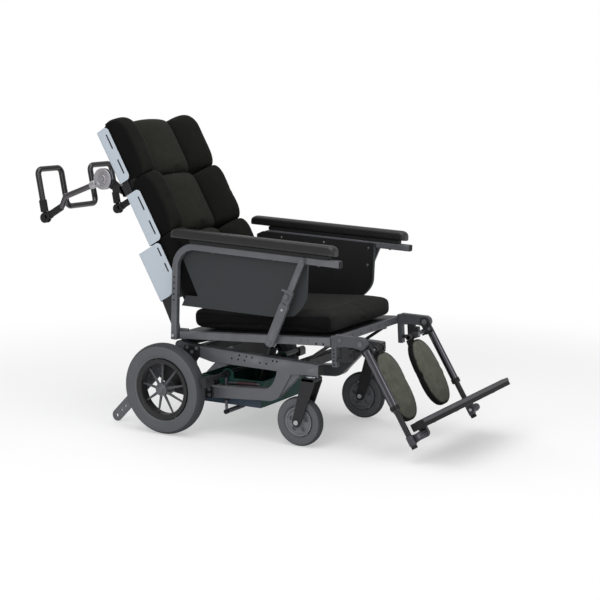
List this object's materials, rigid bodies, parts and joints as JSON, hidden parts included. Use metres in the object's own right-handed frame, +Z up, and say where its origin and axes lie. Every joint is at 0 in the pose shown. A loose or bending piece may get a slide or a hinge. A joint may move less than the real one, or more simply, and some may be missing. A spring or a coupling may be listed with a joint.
{
  "type": "tilt in space wheelchair",
  "caption": "Tilt in space wheelchair with a reclining three-row contoured back, folding push bar, padded arms and an elevating legrest",
  "frame": {"origin": "middle of the footprint, on the floor", "axes": "+Z up, front towards -Y, +X to the occupant's left"},
  "size_m": [0.693, 1.6988, 1.084],
  "materials": {
    "grey_paint": "satin",
    "black_paint": "satin",
    "teal_paint": "satin",
    "bright_steel": "brushed",
    "tyre": "matt",
    "rim_plastic": "matt",
    "black_plastic": "matt",
    "panel_plastic": "matt",
    "shell_plastic": "satin",
    "black_fabric": "matt",
    "calf_fabric": "matt"
  },
  "bodies": {
    "base": {"base_side_frame_right": "grey_paint", "base_side_frame_left": "grey_paint", "axle_carrier_right": "black_paint", "axle_carrier_left": "black_paint", "anti_tip_bar_right": "grey_paint", "anti_tip_bar_left": "grey_paint", "base_cross_tube_front": "black_paint", "base_cross_tube_rear": "black_paint", "mechanism_tray": "teal_paint"},
    "brake": {"parking_brake": "black_paint"},
    "tilt_cylinder": {"tilt_cylinder": "black_paint"},
    "tilt_rod": {"tilt_rod": "bright_steel"},
    "seat": {"seat_rail_right": "grey_paint", "seat_rail_left": "grey_paint", "seat_pan": "black_paint", "seat_cushion": "black_fabric", "legrest_hanger_right": "black_paint", "legrest_hanger_left": "black_paint"},
    "legrest": {"legrest_tube_right": "bright_steel", "legrest_tube_left": "bright_steel", "calf_bracket_right": "black_paint", "calf_bracket_left": "black_paint"},
    "footrest": {"footrest_tube_right": "black_paint", "footrest_tube_left": "black_paint"},
    "footplate": {"footplate": "black_plastic"},
    "back": {"back_cane_right": "black_paint", "back_cane_left": "black_paint", "back_shell_upper": "shell_plastic", "back_shell_middle": "shell_plastic", "back_shell_lower": "shell_plastic", "back_cushion_upper": "black_fabric", "back_cushion_middle": "black_fabric", "back_cushion_lower": "black_fabric"},
    "handle": {"handle_arm_right": "bright_steel", "handle_arm_left": "bright_steel", "handle_knuckle_right": "black_plastic", "handle_knuckle_left": "black_plastic"},
    "push_bar": {"push_bar": "black_plastic"},
    "rear_wheel_right": {"rear_tyre_right": "tyre", "rear_rim_right": "rim_plastic"},
    "caster_right": {"caster_fork_right": "black_paint"},
    "caster_wheel_right": {"caster_tyre_right": "tyre", "caster_hub_right": "rim_plastic"},
    "arm_right": {"arm_tube_right": "grey_paint", "arm_pad_right": "black_plastic", "side_panel_right": "panel_plastic"},
    "strut_lower_right": {"arm_strut_lower_right": "grey_paint"},
    "strut_upper_right": {"arm_strut_upper_right": "grey_paint"},
    "calf_pad_right": {"calf_pad_right": "calf_fabric"},
    "rear_wheel_left": {"rear_tyre_left": "tyre", "rear_rim_left": "rim_plastic"},
    "caster_left": {"caster_fork_left": "black_paint"},
    "caster_wheel_left": {"caster_tyre_left": "tyre", "caster_hub_left": "rim_plastic"},
    "arm_left": {"arm_tube_left": "grey_paint", "arm_pad_left": "black_plastic", "side_panel_left": "panel_plastic"},
    "strut_lower_left": {"arm_strut_lower_left": "grey_paint"},
    "strut_upper_left": {"arm_strut_upper_left": "grey_paint"},
    "calf_pad_left": {"calf_pad_left": "calf_fabric"}
  },
  "joints": [
    {"name": "tilt", "type": "hinge", "parent": "base", "child": "seat", "pos_m": [0, 0.19673, 0.3], "axis": [-1, 0, 0], "range_deg": [0, 30]},
    {"name": "tilt_cylinder_swing", "type": "hinge", "parent": "base", "child": "tilt_cylinder", "pos_m": [0, 0.01673, 0.12], "axis": [-1, 0, 0], "range_deg": [0, 16]},
    {"name": "tilt_rod_extend", "type": "slide", "parent": "tilt_cylinder", "child": "tilt_rod", "axis": [0, -0.3502, 0.9367], "range_m": [0, 0.1125]},
    {"name": "recline", "type": "hinge", "parent": "seat", "child": "back", "pos_m": [0, 0.20873, 0.341], "axis": [-1, 0, 0], "range_deg": [-15, 20]},
    {"name": "handle_angle", "type": "hinge", "parent": "back", "child": "handle", "pos_m": [0, 0.53408, 0.8637], "axis": [-1, 0, 0], "range_deg": [-45, 10]},
    {"name": "push_bar_fold", "type": "hinge", "parent": "handle", "child": "push_bar", "pos_m": [0, 0.80653, 0.71372], "axis": [-1, 0, 0], "range_deg": [-5, 45]},
    {"name": "legrest_raise", "type": "hinge", "parent": "seat", "child": "legrest", "pos_m": [0, -0.5207, 0.37013], "axis": [-1, 0, 0], "range_deg": [0, 48]},
    {"name": "footrest_extend", "type": "slide", "parent": "legrest", "child": "footrest", "axis": [0, -0.5075, -0.8616], "range_m": [-0.05, 0.03]},
    {"name": "footplate_flip", "type": "hinge", "parent": "footrest", "child": "footplate", "pos_m": [0, -0.72064, 0.08982], "axis": [-1, 0, 0], "range_deg": [0, 60]},
    {"name": "brake_pedal", "type": "hinge", "parent": "base", "child": "brake", "pos_m": [0, 0.03473, 0.205], "axis": [1, 0, 0], "range_deg": [0, 14]},
    {"name": "rear_wheel_right_spin", "type": "hinge", "parent": "base", "child": "rear_wheel_right", "pos_m": [-0.3125, 0.20773, 0.15875], "axis": [1, 0, 0], "continuous": true},
    {"name": "caster_right_swivel", "type": "hinge", "parent": "base", "child": "caster_right", "pos_m": [-0.224, -0.32527, 0.26], "axis": [0, 0, 1], "continuous": true},
    {"name": "caster_wheel_right_spin", "type": "hinge", "parent": "caster_right", "child": "caster_wheel_right", "pos_m": [-0.224, -0.28127, 0.084], "axis": [1, 0, 0], "continuous": true},
    {"name": "arm_right_angle", "type": "hinge", "parent": "seat", "child": "arm_right", "pos_m": [-0.254, 0.20353, 0.3367], "axis": [-1, 0, 0], "range_deg": [-2, 6]},
    {"name": "arm_strut_right_swing", "type": "hinge", "parent": "seat", "child": "strut_lower_right", "pos_m": [-0.271, -0.19458, 0.35096], "axis": [-1, 0, 0], "range_deg": [-3.1, 9.1]},
    {"name": "arm_strut_right_extend", "type": "slide", "parent": "strut_lower_right", "child": "strut_upper_right", "axis": [0, -0.4086, 0.9127], "range_m": [-0.0128, 0.0384]},
    {"name": "calf_pad_right_swing", "type": "hinge", "parent": "legrest", "child": "calf_pad_right", "pos_m": [-0.13, -0.52214, 0.33616], "axis": [-1, 0, 0], "range_deg": [-3, 5]},
    {"name": "rear_wheel_left_spin", "type": "hinge", "parent": "base", "child": "rear_wheel_left", "pos_m": [0.3125, 0.20773, 0.15875], "axis": [1, 0, 0], "continuous": true},
    {"name": "caster_left_swivel", "type": "hinge", "parent": "base", "child": "caster_left", "pos_m": [0.224, -0.32527, 0.26], "axis": [0, 0, 1], "continuous": true},
    {"name": "caster_wheel_left_spin", "type": "hinge", "parent": "caster_left", "child": "caster_wheel_left", "pos_m": [0.224, -0.28127, 0.084], "axis": [1, 0, 0], "continuous": true},
    {"name": "arm_left_angle", "type": "hinge", "parent": "seat", "child": "arm_left", "pos_m": [0.254, 0.20353, 0.3367], "axis": [-1, 0, 0], "range_deg": [-2, 6]},
    {"name": "arm_strut_left_swing", "type": "hinge", "parent": "seat", "child": "strut_lower_left", "pos_m": [0.271, -0.19458, 0.35096], "axis": [-1, 0, 0], "range_deg": [-3.1, 9.1]},
    {"name": "arm_strut_left_extend", "type": "slide", "parent": "strut_lower_left", "child": "strut_upper_left", "axis": [0, -0.4086, 0.9127], "range_m": [-0.0128, 0.0384]},
    {"name": "calf_pad_left_swing", "type": "hinge", "parent": "legrest", "child": "calf_pad_left", "pos_m": [0.13, -0.52214, 0.33616], "axis": [-1, 0, 0], "range_deg": [-3, 5]}
  ],
  "couplings": [
    {"joint": "tilt_cylinder_swing", "follows": "tilt", "ratio": 0.5253},
    {"joint": "tilt_rod_extend", "follows": "tilt", "m_per_rad": 0.2142},
    {"joint": "arm_strut_right_swing", "follows": "arm_right_angle", "ratio": 1.5},
    {"joint": "arm_strut_right_extend", "follows": "arm_right_angle", "m_per_rad": 0.365},
    {"joint": "arm_strut_left_swing", "follows": "arm_left_angle", "ratio": 1.5},
    {"joint": "arm_strut_left_extend", "follows": "arm_left_angle", "m_per_rad": 0.365}
  ]
}
